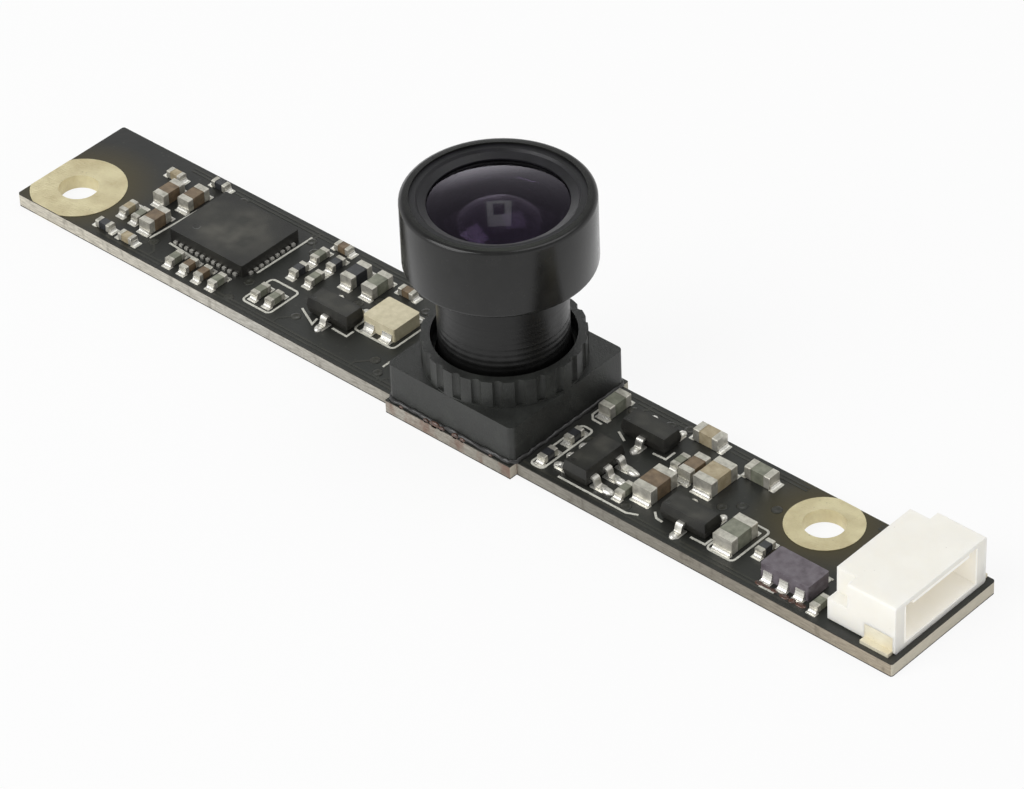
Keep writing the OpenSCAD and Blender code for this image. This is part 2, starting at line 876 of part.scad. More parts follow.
// Contacts: a blade in the mouth, a riser behind the back wall and a foot on the board
module connector_contacts() {
    blade_end = mouth_x - 0.9;
    tail = 0.55;
    color("#d8cfae")
        for (i = [0 : contact_count - 1])
            translate([0, contact_y(i) + contact_w / 2, 0])
                rotate([90, 0, 0])
                    linear_extrude(contact_w)
                        polygon([[housing_back_x - tail, board_top],
                                 [housing_back_x + contact_t, board_top],
                                 [housing_back_x + contact_t, contact_z - contact_t / 2],
                                 [blade_end, contact_z - contact_t / 2],
                                 [blade_end, contact_z + contact_t / 2],
                                 [housing_back_x, contact_z + contact_t / 2],
                                 [housing_back_x, board_top + contact_t],
                                 [housing_back_x - tail, board_top + contact_t]]);
}

circuit_board();
left_screw_ring();
right_screw_ring();
lens_holder();
lens_barrel();
front_ring();
front_glass();
second_lens();
front_spacer();
middle_lens();
aperture_disc();
rear_spacer();
rear_lens();
infrared_filter();
image_sensor();
sensor_cover_glass();
processor_chip();
processor_lands();
left_regulator();
middle_regulator();
right_regulator();
memory_chip();
chip_legs();
clock_resonator();
resonator_terminals();
brown_capacitors();
grey_capacitors();
tan_capacitors();
chip_resistors();
chip_part_ends();
solder_fillets();
cable_choke();
choke_terminals();
connector_housing();
connector_contacts();
connector_anchors();
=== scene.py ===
"""Looks of the board-mounted camera module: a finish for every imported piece, a barrel with a worn
thread, the print, pads, tracks, solder, glue and flux on its board, and the stage round it."""
import math
import random

import bmesh
import bpy
from mathutils import Matrix, Vector


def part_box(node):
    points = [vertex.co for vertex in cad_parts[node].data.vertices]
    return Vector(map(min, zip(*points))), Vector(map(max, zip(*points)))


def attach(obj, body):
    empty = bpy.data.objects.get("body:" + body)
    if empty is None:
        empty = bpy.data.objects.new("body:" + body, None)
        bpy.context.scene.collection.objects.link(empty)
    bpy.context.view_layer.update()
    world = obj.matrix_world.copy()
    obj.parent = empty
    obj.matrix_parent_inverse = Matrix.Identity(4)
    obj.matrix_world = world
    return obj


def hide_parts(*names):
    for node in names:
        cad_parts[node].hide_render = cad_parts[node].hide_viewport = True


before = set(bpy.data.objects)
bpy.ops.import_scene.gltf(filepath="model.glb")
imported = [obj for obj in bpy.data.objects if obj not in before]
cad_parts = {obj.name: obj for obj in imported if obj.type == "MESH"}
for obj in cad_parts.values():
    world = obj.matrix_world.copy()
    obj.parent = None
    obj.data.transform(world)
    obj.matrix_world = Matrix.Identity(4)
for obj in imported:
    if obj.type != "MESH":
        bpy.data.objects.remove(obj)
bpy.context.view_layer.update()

MM = 0.001


# ---------- shader building ----------

class Signal:
    """A node output that takes part in Python arithmetic by adding Math nodes."""

    def __init__(self, finish, socket):
        self.finish = finish
        self.socket = socket

    def math(self, operation, *operands):
        sockets = dict(enumerate(operands))
        return self.finish.node("Math", {"operation": operation}, sockets)

    def __add__(self, other):
        return self.math("ADD", self, other)

    def __radd__(self, other):
        return self.math("ADD", other, self)

    def __sub__(self, other):
        return self.math("SUBTRACT", self, other)

    def __rsub__(self, other):
        return self.math("SUBTRACT", other, self)

    def __mul__(self, other):
        return self.math("MULTIPLY", self, other)

    def __rmul__(self, other):
        return self.math("MULTIPLY", other, self)

    def __gt__(self, other):
        return self.math("GREATER_THAN", self, other)

    def __lt__(self, other):
        return self.math("LESS_THAN", self, other)

    def __abs__(self):
        return self.math("ABSOLUTE", self)

    def root(self):
        return self.math("SQRT", self)

    def ramp(self, low, high, start=0.0, end=1.0):
        """This signal mapped from low..high to start..end, held at both ends."""
        return self.finish.node("MapRange", {"clamp": True},
                                {"Value": self, "From Min": low, "From Max": high,
                                 "To Min": start, "To Max": end})


class Finish:
    """A node material under construction, round one Principled shader."""

    def __init__(self, name, **constants):
        self.material = bpy.data.materials.new(name)
        self.material.use_nodes = True
        self.tree = self.material.node_tree
        self.shader = self.tree.nodes["Principled BSDF"]
        for label, value in constants.items():
            self.shader.inputs[label.replace("_", " ")].default_value = value

    def node(self, kind, settings=None, sockets=None, out=0):
        made = self.tree.nodes.new("ShaderNode" + kind)
        for key, value in (settings or {}).items():
            if key == "stops":
                self.set_stops(made.color_ramp, value)
            else:
                setattr(made, key, value)
        for key, value in (sockets or {}).items():
            self.feed(made.inputs[key], value)
        return Signal(self, made.outputs[out])

    def set_stops(self, ramp, stops):
        while len(ramp.elements) < len(stops):
            ramp.elements.new(1.0)
        for element, (place, colour) in zip(ramp.elements, stops):
            element.position = place
            element.color = (*colour, 1)

    def feed(self, socket, value):
        if isinstance(value, Signal):
            self.tree.links.new(value.socket, socket)
        elif socket.type == "RGBA" and len(value) == 3:
            socket.default_value = (*value, 1)
        else:
            socket.default_value = value

    def set(self, **inputs):
        """Feeds varying values to the Principled shader; underscores stand for spaces."""
        for label, value in inputs.items():
            self.feed(self.shader.inputs[label.replace("_", " ")], value)
        return self.material

    def place(self):
        """Object-space position, in metres."""
        return self.node("TexCoord", out="Object")

    def axes(self):
        """The three coordinates of the position, as separate signals."""
        split = self.node("SeparateXYZ", None, {0: self.place()}).socket.node
        return [Signal(self, split.outputs[i]) for i in range(3)]

    def facing(self):
        """The three parts of the surface normal, as separate signals."""
        normal = self.node("NewGeometry", out="Normal")
        split = self.node("SeparateXYZ", None, {0: normal}).socket.node
        return [Signal(self, split.outputs[i]) for i in range(3)]

    def vector(self, x, y, z):
        return self.node("CombineXYZ", None, {0: x, 1: y, 2: z})

    def noise(self, size_mm, detail=3.0, rough=0.55, at=None):
        """Soft noise from 0 to 1 whose patches are about size_mm across."""
        return self.node("TexNoise", None,
                         {"Vector": at or self.place(), "Scale": 1 / (size_mm * MM),
                          "Detail": detail, "Roughness": rough})

    def specks(self, size_mm, reach=0.35):
        """Small round dots, 1 at each centre, on a random grid of that size."""
        cell = self.node("TexVoronoi", None,
                         {"Vector": self.place(), "Scale": 1 / (size_mm * MM)}, "Distance")
        return cell.ramp(0.0, reach, 1.0, 0.0)

    def distance(self, *parts):
        """Length of the vector with the given parts."""
        return sum((p * p for p in parts[1:]), parts[0] * parts[0]).root()

    def mix(self, share, low, high):
        """Colour low where share is 0, high where it is 1."""
        return self.node("Mix", {"data_type": "RGBA"}, {0: share, 6: low, 7: high}, 2)

    def bump(self, height, depth_mm):
        return self.node("Bump", None, {"Height": height, "Distance": depth_mm * MM,
                                        "Strength": 1.0})


def srgb(*levels):
    """Linear colour of 8-bit display levels."""
    return tuple(v / 255 / 12.92 if v <= 10 else ((v / 255 + 0.055) / 1.055) ** 2.4 for v in levels)


def shade(colour, factor):
    return tuple(c * factor for c in colour)


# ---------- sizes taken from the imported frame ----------

board_low, board_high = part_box("circuit_board")
BOARD_TOP = board_high.z
BOARD_FRONT = -0.004                    # long edges either side of the middle tab
BOARD_BACK = 0.004
lens_low, lens_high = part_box("lens_barrel")
LENS_X = (lens_low.x + lens_high.x) / 2
holder_low, holder_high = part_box("lens_holder")
housing_low, housing_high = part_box("connector_housing")
THREAD_CREST = 3.5 * MM                 # outer radius of the barrel's thread
THREAD_ROOT = 3.3 * MM                  # just inside the bottom of its grooves
PAD_TOP = BOARD_TOP + 0.02 * MM
TRACK_TOP = BOARD_TOP + 0.012 * MM
INK_TOP = BOARD_TOP + 0.022 * MM
INK_WIDTH = 0.12 * MM
SEAM = 1e-7                             # corners this near to each other are one


# ---------- finishes ----------

def board_finish():
    """Black solder mask on the faces, bare glass-fibre laminate on the edges."""
    f = Finish("solder_mask")
    x, y, z = f.axes()
    nx, _, nz = f.facing()
    edge = abs(nz) < 0.5
    cloud = f.noise(3.5, 4)
    grit = f.noise(0.12, 2)
    mask = f.mix(cloud.ramp(0.3, 0.7), srgb(30, 32, 29), srgb(41, 41, 37))
    dark_end = x.ramp(board_low.x, board_low.x + 24 * MM, 1.0, 0.0)
    mask = f.mix(dark_end * 0.6, mask, srgb(16, 16, 14))
    mask = f.mix(f.specks(0.5, 0.16) * 0.4, mask, srgb(74, 74, 66))
    for node in ("left_screw_ring", "right_screw_ring"):
        low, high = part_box(node)
        centre, radius = (low + high) / 2, (high.x - low.x) / 2
        halo = f.distance(x - centre.x, y - centre.y).ramp(radius + 0.1 * MM, radius + 2.0 * MM, 0.9, 0.0)
        mask = f.mix(halo, mask, srgb(58, 50, 16))
    stretched = f.vector(x * 0.12, y * 0.12, z)
    layers = f.noise(0.07, 3, at=stretched)
    along = x.ramp(board_low.x, board_high.x)
    pale = f.node("ValToRGB", {"stops": [(0.0, srgb(212, 206, 190)), (0.3, srgb(190, 187, 178)),
                                         (0.5, srgb(168, 163, 152)), (0.68, srgb(132, 129, 120)),
                                         (0.84, srgb(140, 134, 122)), (1.0, srgb(176, 164, 144))]},
                  {0: along})
    laminate = f.mix(layers.ramp(0.35, 0.7) * 0.5, pale, srgb(84, 78, 68))
    burr = f.noise(0.45, 4, at=f.vector(x, y, z * 0.5))
    laminate = f.mix(burr.ramp(0.55, 0.72) * 0.4, laminate, srgb(70, 62, 50))
    tab_half = 4.3 * MM
    under_lens = (abs(x - LENS_X) < tab_half) * (y < 0)
    scorch = f.noise(1.1, 3, at=f.vector(x, y, z * 0.4)).ramp(0.46, 0.62) * under_lens
    laminate = f.mix(scorch * 0.6, laminate, srgb(112, 74, 58))
    laminate = f.mix((nx > 0.5) * 0.6, laminate, srgb(226, 221, 204))
    film = 0.06 * MM                    # depth of the dark line along both rims of the edge
    skin = abs(z - BOARD_TOP / 2) > (BOARD_TOP / 2 - film)
    side = f.mix(skin, laminate, srgb(44, 42, 37))
    rough = cloud.ramp(0.2, 0.8, 0.32, 0.48) * (1 - edge) + edge * 0.85
    height = grit * 0.25 + f.noise(0.6, 2) * 0.5 + edge * layers * 2
    return f.set(Base_Color=f.mix(edge, mask, side), Roughness=rough, Normal=f.bump(height, 0.012))


def track_finish():
    """Solder mask where it runs over a copper track: a shade lighter."""
    f = Finish("masked_copper")
    cloud = f.noise(1.2, 3)
    colour = f.mix(cloud.ramp(0.3, 0.7), srgb(40, 41, 36), srgb(52, 51, 44))
    return f.set(Base_Color=colour, Roughness=cloud.ramp(0.2, 0.8, 0.3, 0.42),
                 Normal=f.bump(f.noise(0.2, 2), 0.008))


def gold_finish(name, light, dark, rough=0.38, metallic=0.62):
    """Thin gold over copper, with handling marks and faint stains."""
    f = Finish(name, Metallic=metallic)
    stain = f.noise(1.3, 4)
    fine = f.noise(0.16, 3)
    colour = f.mix(stain.ramp(0.35, 0.72), light, dark)
    colour = f.mix(f.specks(0.55, 0.13) * 0.6, colour, shade(dark, 0.55))
    x, y, z = f.axes()
    scratch = f.noise(0.09, 2, at=f.vector(x * 0.12 + y * 0.5, y - x * 0.3, z))
    return f.set(Base_Color=colour, Roughness=fine.ramp(0.2, 0.8, rough - 0.08, rough + 0.14),
                 Normal=f.bump(fine * 0.5 + scratch.ramp(0.45, 0.7), 0.012))


def moulding_finish():
    """Matt black moulding of the lens holder, slightly dusty on its faces."""
    f = Finish("black_moulding", Specular_IOR_Level=0.4)
    grain = f.noise(0.07, 2)
    dust = f.noise(1.1, 5, 0.65)
    colour = f.mix(dust.ramp(0.42, 0.75), srgb(39, 40, 38), srgb(54, 56, 53))
    colour = f.mix(f.specks(0.34, 0.1) * 0.35, colour, srgb(80, 80, 76))
    return f.set(Base_Color=colour, Roughness=dust.ramp(0.3, 0.7, 0.36, 0.5),
                 Normal=f.bump(grain + dust * 0.8, 0.02))


def turned_finish(name, dark, light, rough):
    """Anodised turned metal: fine rings round the lens axis and a soft mottle, with painted shade on the
    narrow neck below the barrel's head.
    """
    f = Finish(name, Specular_IOR_Level=0.38)
    x, y, z = f.axes()
    radius = f.distance(x - LENS_X, y)
    rings = f.noise(0.045, 1, at=f.vector(radius, 0.0, z))
    mottle = f.noise(0.9, 4, 0.6)
    dust = f.specks(0.42, 0.09)
    colour = f.mix(mottle.ramp(0.3, 0.75), dark, light)
    colour = f.mix(dust * 0.3, colour, srgb(90, 90, 86))
    # painted shade: the neck under the head's overhang is darkened, and made a little rougher
    neck_top = holder_high.z + 4.4 * MM
    painted_neck_shade = (radius < THREAD_CREST + 0.05 * MM) * (z < neck_top)
    colour = f.mix(painted_neck_shade * 0.7, colour, srgb(8, 8, 8))
    smooth = mottle.ramp(0.25, 0.75, rough - 0.05, rough + 0.06) + painted_neck_shade * 0.15
    return f.set(Base_Color=colour, Roughness=smooth + rings * 0.06,
                 Normal=f.bump(rings + mottle * 0.3, 0.006))


def glass_finish(name, tint, film, wave=0.0008):
    """Polished glass: tint colours what passes it, film its faint sheen, wave is its unevenness."""
    f = Finish(name, Transmission_Weight=1.0, IOR=1.52)
    haze = f.noise(1.6, 3)
    smear = f.noise(0.7, 3, 0.6)
    f.shader.inputs["Specular Tint"].default_value = (*film, 1)
    return f.set(Base_Color=f.mix(haze.ramp(0.3, 0.7), tint, shade(tint, 0.86)),
                 Roughness=haze.ramp(0.3, 0.8, 0.03, 0.06) + smear.ramp(0.5, 0.75) * 0.05,
                 Normal=f.bump(haze, wave))


def epoxy_finish(name, node, dimple):
    """Moulded chip body: dark filler-speckled epoxy with a round dimple by the first leg, painted shade
    darkening its top towards the edges and its sides, and painted reflections in patches mostly on the middle
    of its top.
    """
    f = Finish(name, Specular_IOR_Level=0.45)
    low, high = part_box(node)
    x, y, z = f.axes()
    inset = min(high.x - low.x, high.y - low.y) * 0.24
    away = f.distance(x - (low.x + inset), y - (low.y + inset))
    dent = away.ramp(dimple * 0.85 * MM, dimple * MM, 1.0, 0.0) * (z > high.z - 0.03 * MM)
    filler = f.noise(0.05, 2)
    cloud = f.noise(1.4, 4, 0.6)
    colour = f.mix(cloud.ramp(0.35, 0.75), srgb(36, 36, 31), srgb(50, 50, 44))
    colour = f.mix(filler.ramp(0.62, 0.8) * 0.3, colour, srgb(84, 83, 76))
    centre, half = (low + high) / 2, (high - low) / 2
    flat = 0.45                         # share of the half width that has no painted edge shade
    # painted shade: the top darkens towards its edges, the sides darker still
    painted_edge_shade = abs(x - centre.x).ramp(flat * half.x, half.x) + abs(y - centre.y).ramp(flat * half.y, half.y)
    colour = f.mix(painted_edge_shade.ramp(0.0, 1.4, 0.0, 0.75), colour, srgb(18, 17, 15))
    # painted reflection: lighter patches, mostly on the middle of the top
    painted_reflection = f.noise(1.1, 2, 0.4).ramp(0.42, 0.74) * painted_edge_shade.ramp(0.0, 1.0, 0.6, 0.15)
    colour = f.mix(painted_reflection, colour, srgb(86, 84, 76))
    colour = f.mix(dent * 0.5, colour, srgb(26, 26, 24))
    return f.set(Base_Color=colour, Roughness=cloud.ramp(0.3, 0.7, 0.42, 0.56) - dent * 0.12,
                 Normal=f.bump(filler * 0.4 + cloud * 0.3 - dent * 2, 0.015))


def metal_finish(name, light, dark, rough, wet=0.4, metallic=0.85):
    """Solder or tin: bright, faintly grainy, duller in patches."""
    f = Finish(name, Metallic=metallic)
    dull = f.noise(0.35, 3)
    grain = f.noise(0.05, 2)
    return f.set(Base_Color=f.mix(dull.ramp(0.4, 0.75), light, dark),
                 Roughness=dull.ramp(0.25, 0.75, rough - 0.07, rough + 0.12),
                 Normal=f.bump(dull * wet + grain * 0.2, 0.02))


def ceramic_finish(name, light, dark, rough=0.45, speck=0.35, coat=0.0):
    """Fired ceramic: even colour broken by fine grain and a few dark specks."""
    f = Finish(name, Coat_Roughness=0.15)
    cloud = f.noise(0.4, 3)
    grain = f.noise(0.035, 2)
    colour = f.mix(cloud.ramp(0.3, 0.7), dark, light)
    colour = f.mix(grain.ramp(0.58, 0.75) * speck, colour, shade(dark, 0.55))
    f.shader.inputs["Coat Weight"].default_value = coat
    return f.set(Base_Color=colour, Roughness=cloud.ramp(0.2, 0.8, rough - 0.06, rough + 0.08),
                 Normal=f.bump(grain, 0.006))


def white_plastic_finish():
    """Moulded nylon: warm white with a faint flow pattern, and a painted glow in its mouth that stands in for
    light coming through the thin walls."""
    f = Finish("white_moulding", Specular_IOR_Level=0.45, Subsurface_Weight=0.5,
               Subsurface_Scale=0.6 * MM, Subsurface_Radius=(1.0, 0.96, 0.86))
    flow = f.noise(2.4, 3)
    fine = f.noise(0.06, 2)
    colour = f.mix(flow.ramp(0.3, 0.7), srgb(243, 241, 233), srgb(238, 235, 226))
    colour = f.mix(f.specks(0.9, 0.05) * 0.5, colour, srgb(170, 164, 148))
    x, y, z = f.axes()
    wall = 0.7 * MM
    centre = (housing_low.y + housing_high.y) / 2
    half = (housing_high.y - housing_low.y) / 2 - wall
    inside = (abs(y - centre) < half) * (z > housing_low.z + 0.3 * MM) * (z < housing_high.z - 0.3 * MM)
    # painted glow: the inside of the mouth emits a faint warm light, stronger towards its open end
    painted_glow = inside * x.ramp(housing_low.x, housing_high.x, 0.6, 1.0)
    f.shader.inputs["Emission Strength"].default_value = 0.2
    return f.set(Base_Color=colour, Roughness=flow.ramp(0.3, 0.7, 0.4, 0.52),
                 Emission_Color=f.mix(painted_glow, (0, 0, 0), (0.96, 0.91, 0.84)),
                 Normal=f.bump(fine + flow, 0.008))


def ink_finish():
    """Printed legend ink, slightly patchy over the mask."""
    f = Finish("legend_ink")
    patch = f.noise(0.14, 3, 0.7)
    colour = f.mix(patch.ramp(0.5, 0.72), srgb(205, 204, 194), srgb(150, 149, 138))
    return f.set(Base_Color=colour, Roughness=patch.ramp(0.3, 0.7, 0.5, 0.7),
                 Normal=f.bump(patch, 0.01))


def resin_finish(name, light, dark, rough):
    """A dried bead of glue or flux: glossy, deeper in colour where it is thick."""
    f = Finish(name, Coat_Roughness=0.1)
    body = f.noise(0.3, 3)
    f.shader.inputs["Coat Weight"].default_value = 0.5
    return f.set(Base_Color=f.mix(body.ramp(0.3, 0.7), light, dark),
                 Roughness=body.ramp(0.3, 0.7, rough, rough + 0.15), Normal=f.bump(body, 0.02))


SOLDER = metal_finish("solder", srgb(236, 234, 226), srgb(204, 202, 194), 0.26, metallic=0.6)
TIN = metal_finish("tin_plating", srgb(214, 211, 200), srgb(168, 165, 154), 0.4, 0.25, 0.7)
GOLD = gold_finish("gold_plating", srgb(226, 216, 176), srgb(200, 186, 145))
CONTACT = gold_finish("contact_plating", srgb(238, 232, 210), srgb(226, 216, 188), 0.4, 0.25)
RING_BLACK = turned_finish("ring_black", srgb(14, 14, 16), srgb(25, 24, 29), 0.4)
FRONT_GLASS = glass_finish("front_glass", (0.4, 0.36, 0.44), (0.44, 0.33, 0.58))
INNER_GLASS = glass_finish("inner_glass", (0.3, 0.27, 0.32), (0.24, 0.2, 0.3), 0.0002)
FILTER = glass_finish("filter_glass", (0.3, 0.42, 0.42), (0.3, 0.4, 0.4))

finishes = {
    "circuit_board": board_finish(),
    "left_screw_ring": GOLD,
    "right_screw_ring": GOLD,
    "lens_holder": moulding_finish(),
    "lens_barrel": turned_finish("barrel_black", srgb(21, 21, 20), srgb(30, 30, 29), 0.17),
    "front_ring": RING_BLACK,
    "front_glass": FRONT_GLASS,
    "second_lens": INNER_GLASS,
    "front_spacer": RING_BLACK,
    "middle_lens": INNER_GLASS,
    "aperture_disc": RING_BLACK,
    "rear_spacer": RING_BLACK,
    "rear_lens": INNER_GLASS,
    "infrared_filter": FILTER,
    "image_sensor": ceramic_finish("sensor_silicon", srgb(60, 72, 84), srgb(44, 52, 64), 0.2, 0.1),
    "sensor_cover_glass": FILTER,
    "processor_chip": epoxy_finish("processor_epoxy", "processor_chip", 0.22),
    "processor_lands": SOLDER,
    "left_regulator": epoxy_finish("left_regulator_epoxy", "left_regulator", 0.12),
    "middle_regulator": epoxy_finish("middle_regulator_epoxy", "middle_regulator", 0.12),
    "right_regulator": epoxy_finish("right_regulator_epoxy", "right_regulator", 0.12),
    "memory_chip": epoxy_finish("memory_epoxy", "memory_chip", 0.15),
    "chip_legs": metal_finish("leg_tin", srgb(232, 230, 222), srgb(200, 196, 186), 0.32),
    "clock_resonator": ceramic_finish("cream_ceramic", srgb(216, 207, 178), srgb(196, 187, 156), 0.5, 0.3),
    "resonator_terminals": SOLDER,
    "brown_capacitors": ceramic_finish("brown_ceramic", srgb(128, 110, 86), srgb(94, 78, 60)),
    "grey_capacitors": ceramic_finish("grey_ceramic", srgb(136, 138, 122), srgb(104, 106, 92)),
    "tan_capacitors": ceramic_finish("tan_ceramic", srgb(178, 166, 138), srgb(150, 136, 108)),
    "chip_resistors": ceramic_finish("resistor_glaze", srgb(52, 53, 56), srgb(38, 39, 42), 0.3, 0.2, 0.5),
    "chip_part_ends": TIN,
    "solder_fillets": SOLDER,
    "cable_choke": ceramic_finish("choke_ferrite", srgb(112, 106, 112), srgb(84, 76, 82), 0.45, 0.35),
    "choke_terminals": SOLDER,
    "connector_housing": white_plastic_finish(),
    "connector_contacts": CONTACT,
    "connector_anchors": CONTACT,
}
films = {
    "track": track_finish(),
    "ink": ink_finish(),
    "glue": resin_finish("black_glue", srgb(26, 25, 23), srgb(18, 17, 16), 0.5),
    "flux": resin_finish("brown_flux", srgb(92, 60, 44), srgb(52, 36, 28), 0.25),
}
for node, material in finishes.items():
    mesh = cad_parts[node].data
    mesh.materials.clear()
    mesh.materials.append(material)


# ---------- making pieces ----------

def piece(name, bm, material, smooth=False):
    """Turns a finished bmesh into an object that rides on the board's body."""
    mesh = bpy.data.meshes.new(name)
    bm.normal_update()
    bm.to_mesh(mesh)
    bm.free()
    mesh.materials.append(material)
    for face in mesh.polygons:
        face.use_smooth = smooth
    made = bpy.data.objects.new(name, mesh)
    bpy.context.scene.collection.objects.link(made)
    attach(made, "root")
    return made


def prism(bm, outline, low, high):
    """A closed upright prism over a plain outline, given counter-clockwise."""
    bottom = [bm.verts.new((x, y, low)) for x, y in outline]
    top = [bm.verts.new((x, y, high)) for x, y in outline]
    bm.faces.new(list(reversed(bottom)))
    bm.faces.new(top)
    for i in range(len(outline)):
        j = (i + 1) % len(outline)
        bm.faces.new((bottom[i], bottom[j], top[j], top[i]))


def ribbon(bm, line, width, low, high, closed=False):
    """A flat strip along a line, with mitred corners; low and high are its two levels."""
    points = [Vector(p) for p in line]
    count = len(points)
    rows = []
    for i, here in enumerate(points):
        before = points[i - 1] if i or closed else None
        after = points[(i + 1) % count] if i < count - 1 or closed else None
        steps = [(b - a).normalized() for a, b in ((before, here), (here, after)) if a and b]
        mean = sum(steps, Vector((0, 0))).normalized()
        side = Vector((-mean.y, mean.x)) * (width / 2 / max(mean.dot(steps[0]), 0.4))
        rows.append([bm.verts.new((*(here + side * s), z)) for s, z in
                     ((1, low), (-1, low), (-1, high), (1, high))])
    for i in range(count if closed else count - 1):
        a, b = rows[i], rows[(i + 1) % count]
        for k in range(4):
            m = (k + 1) % 4
            bm.faces.new((a[k], b[k], b[m], a[m]))
    if not closed:
        bm.faces.new(rows[0])
        bm.faces.new(list(reversed(rows[-1])))


def rounded(low, high, r, steps=4):
    """Points round a rectangle with rounded corners, counter-clockwise."""
    points = []
    for k, (x, y) in enumerate(((high[0] - r, high[1] - r), (low[0] + r, high[1] - r),
                                (low[0] + r, low[1] + r), (high[0] - r, low[1] + r))):
        for i in range(steps + 1):
            a = math.pi / 2 * (k + i / steps)
            points.append((x + r * math.cos(a), y + r * math.sin(a)))
    return points


def solids_of(node):
    """The boxes of the separate solids in a CAD node."""
    bm = bmesh.new()
    bm.from_mesh(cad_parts[node].data)
    bmesh.ops.remove_doubles(bm, verts=bm.verts, dist=SEAM)
    seen = set()
    boxes = []
    for start in bm.verts:
        if start in seen:
            continue
        seen.add(start)
        queue = [start]
        for vert in queue:
            for link in vert.link_edges:
                other = link.other_vert(vert)
                if other not in seen:
                    seen.add(other)
                    queue.append(other)
        low = Vector(min(v.co[k] for v in queue) for k in range(3))
        high = Vector(max(v.co[k] for v in queue) for k in range(3))
        boxes.append((low, high))
    bm.free()
    return boxes


def centre_of(box):
    return (box[0] + box[1]) / 2


# ---------- lens barrel ----------

def soft_barrel():
    """The barrel with its exposed thread worn shallow and its corners shaded smooth."""
    bm = bmesh.new()
    bm.from_mesh(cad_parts["lens_barrel"].data)
    bmesh.ops.remove_doubles(bm, verts=bm.verts, dist=SEAM)
    hidden = holder_high.z - 1.1 * MM        # below this the thread sits in the holder's bore
    by_collar = holder_high.z + 1.4 * MM     # and up to this its grooves show a little more
    worn_root = THREAD_CREST - 0.14 * MM
    for vert in bm.verts:
        off = Vector((vert.co.x - LENS_X, vert.co.y))
        if THREAD_ROOT < off.length < THREAD_CREST + 0.01 * MM and vert.co.z > hidden:
            keep = 0.06 if vert.co.z < by_collar else 0.02
            off.length = worn_root + (off.length - THREAD_ROOT) * keep
            vert.co.x, vert.co.y = LENS_X + off.x, off.y
    sharp = math.radians(32)
    for edge in bm.edges:
        edge.smooth = len(edge.link_faces) == 2 and edge.calc_face_angle() < sharp
    made = piece("soft_barrel", bm, finishes["lens_barrel"], smooth=True)
    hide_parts("lens_barrel")


soft_barrel()


# ---------- pads, tracks and vias ----------

def pads():
    """Tinned pads under every solder fillet and leg, a little larger than what they carry."""
    bm = bmesh.new()
    margin = 0.07 * MM

    def pad(low, high, r):
        outline = rounded((low.x - margin, low.y - margin), (high.x + margin, high.y + margin), r)
        prism(bm, outline, BOARD_TOP, PAD_TOP)

    for node in ("solder_fillets", "resonator_terminals", "choke_terminals"):
        for low, high in solids_of(node):
            pad(low, high, 0.05 * MM)
    for low, high in solids_of("chip_legs"):
        pad(low, high, 0.08 * MM)
    piece("solder_pads", bm, SOLDER)


def leg_solder():
    """A low puddle of solder round the foot of each bent leg and connector tail."""
    bm = bmesh.new()
    feet = []
    bodies = [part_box(n) for n in ("left_regulator", "middle_regulator", "right_regulator", "memory_chip")]
    memory = bodies[-1]
    wide = 0.24 * MM
    usual, outer, inner = 0.3 * MM, 0.46 * MM, 0.26 * MM     # how far the solder is drawn out along a leg
    height = 0.18 * MM
    for low, high in solids_of("chip_legs"):
        leg = centre_of((low, high))
        body = min(bodies, key=lambda b: (centre_of(b) - leg).length)
        out = leg - centre_of(body)
        if high.x - low.x > high.y - low.y:
            along = Vector((math.copysign(1, out.x), 0, 0))
        else:
            along = Vector((0, math.copysign(1, out.y), 0))
        tip = leg + Vector((along.x * (high.x - low.x), along.y * (high.y - low.y), 0)) / 2
        drawn = usual
        if body is memory:
            drawn = outer if out.x > 0 else inner
        reach = (drawn, wide) if along.x else (wide, drawn)
        feet.append((tip + along * (drawn - usual), reach))
    for low, high in solids_of("connector_contacts"):
        feet.append((Vector((low.x + wide / 2, (low.y + high.y) / 2, 0)), (wide, wide)))
    for centre, reach in feet:
        bmesh.ops.create_uvsphere(bm, u_segments=16, v_segments=8, radius=1, matrix=(
            Matrix.Translation((centre.x, centre.y, BOARD_TOP)) @
            Matrix.Diagonal((*reach, height, 1))))
    piece("leg_solder", bm, SOLDER, smooth=True)


PARTS = [box for node in ("brown_capacitors", "grey_capacitors", "tan_capacitors", "chip_resistors",
                          "chip_part_ends", "solder_fillets", "chip_legs", "connector_contacts")
         for box in solids_of(node)]
PARTS += [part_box(node) for node in ("lens_holder", "processor_chip", "left_regulator", "middle_regulator",
                                    "right_regulator", "memory_chip", "clock_resonator", "cable_choke",
                                    "connector_housing", "left_screw_ring", "right_screw_ring")]


def is_clear(x, y, room):
    return all(x < low.x - room or x > high.x + room or y < low.y - room or y > high.y + room
               for low, high in PARTS)


def via_places():
    """Seeded places for the vias, clear of every part and of each other."""
    draw = random.Random(7)
    places = []
    wanted, spacing, room = 30, 0.9 * MM, 0.32 * MM
    while len(places) < wanted:
        x = draw.uniform(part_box("left_screw_ring")[1].x + 4 * MM, board_high.x - 1.2 * MM)
        y = draw.uniform(BOARD_FRONT + 0.5 * MM, BOARD_BACK - 0.5 * MM)
        apart = all(math.hypot(x - a, y - b) > spacing for a, b in places)
        if apart and is_clear(x, y, room):
            places.append((x, y))
    return places


